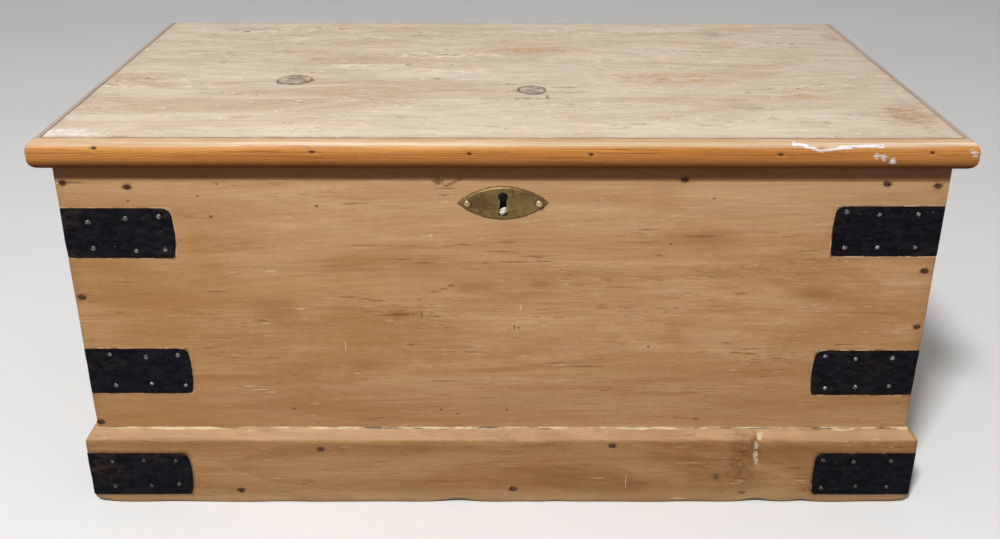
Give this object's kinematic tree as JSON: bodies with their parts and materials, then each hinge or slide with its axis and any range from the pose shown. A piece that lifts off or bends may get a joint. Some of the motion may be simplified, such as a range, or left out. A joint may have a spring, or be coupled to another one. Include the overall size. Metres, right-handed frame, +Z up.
{
  "type": "blanket chest",
  "caption": "Low pine blanket chest with a chamfered plinth, let-in black iron corner straps, an eye-shaped brass keyhole plate with a box lock behind it, and a moulded lid on butt hinges.",
  "frame": {"origin": "centre of the chest's footprint box, on the floor", "axes": "+X along the width, to the right seen from the front; +Y from front to back; +Z up"},
  "size_m": [0.8702, 0.499, 0.4018],
  "materials": {
    "pine_front": "stripped and waxed honey pine, worn",
    "pine_plinth": "waxed orange-brown pine, scuffed",
    "pine_lid": "bleached dry pine, scratched",
    "pine_moulding": "varnished orange-brown pine, satin",
    "pine_inner": "bare pine",
    "strap_iron": "black paint over iron, rust patches",
    "hinge_iron": "dull dark iron",
    "lock_iron": "dull dark iron",
    "brass_plate": "tarnished olive brass",
    "brass_pin": "worn brass"
  },
  "bodies": {
    "chest": {"front_board": "pine_front", "back_board": "pine_front", "left_end_board": "pine_front", "right_end_board": "pine_front", "bottom_board_front": "pine_inner", "bottom_board_middle": "pine_inner", "bottom_board_back": "pine_inner", "plinth_front": "pine_plinth", "plinth_back": "pine_plinth", "plinth_left": "pine_plinth", "plinth_right": "pine_plinth", "strap_front_left_top": "strap_iron", "strap_front_left_middle": "strap_iron", "strap_front_left_plinth": "strap_iron", "strap_front_right_top": "strap_iron", "strap_front_right_middle": "strap_iron", "strap_front_right_plinth": "strap_iron", "strap_back_left_top": "strap_iron", "strap_back_left_middle": "strap_iron", "strap_back_left_plinth": "strap_iron", "strap_back_right_top": "strap_iron", "strap_back_right_middle": "strap_iron", "strap_back_right_plinth": "strap_iron", "hinge_left_carcass_leaf": "hinge_iron", "hinge_left_pin": "hinge_iron", "hinge_left_carcass_screw_1": "hinge_iron", "hinge_left_carcass_screw_2": "hinge_iron", "hinge_left_carcass_screw_3": "hinge_iron", "hinge_right_carcass_leaf": "hinge_iron", "hinge_right_pin": "hinge_iron", "hinge_right_carcass_screw_1": "hinge_iron", "hinge_right_carcass_screw_2": "hinge_iron", "hinge_right_carcass_screw_3": "hinge_iron", "lock_case": "lock_iron", "lock_plate": "lock_iron", "lock_spring": "lock_iron", "lock_screw_1": "lock_iron", "lock_screw_2": "lock_iron", "lock_screw_3": "lock_iron", "lock_screw_4": "lock_iron", "escutcheon_plate": "brass_plate", "escutcheon_pin_left": "brass_pin", "escutcheon_pin_right": "brass_pin"},
    "lid": {"lid_board_front": "pine_lid", "lid_board_back": "pine_lid", "lid_moulding_front": "pine_moulding", "lid_moulding_left": "pine_moulding", "lid_moulding_right": "pine_moulding", "hinge_left_lid_leaf": "hinge_iron", "hinge_left_lid_screw_1": "hinge_iron", "hinge_left_lid_screw_2": "hinge_iron", "hinge_left_lid_screw_3": "hinge_iron", "hinge_right_lid_leaf": "hinge_iron", "hinge_right_lid_screw_1": "hinge_iron", "hinge_right_lid_screw_2": "hinge_iron", "hinge_right_lid_screw_3": "hinge_iron", "link_plate": "lock_iron", "link_plate_screw_left": "lock_iron", "link_plate_screw_right": "lock_iron"},
    "lock_bolt": {"lock_bolt": "lock_iron"}
  },
  "joints": [
    {"name": "lid_hinge", "type": "hinge", "parent": "chest", "child": "lid", "pos_m": [0, 0.24105, 0.38165], "axis": [-1, 0, 0], "range_deg": [0, 105]},
    {"name": "bolt_slide", "type": "slide", "parent": "chest", "child": "lock_bolt", "axis": [1, 0, 0], "range_m": [0, 0.009]}
  ]
}
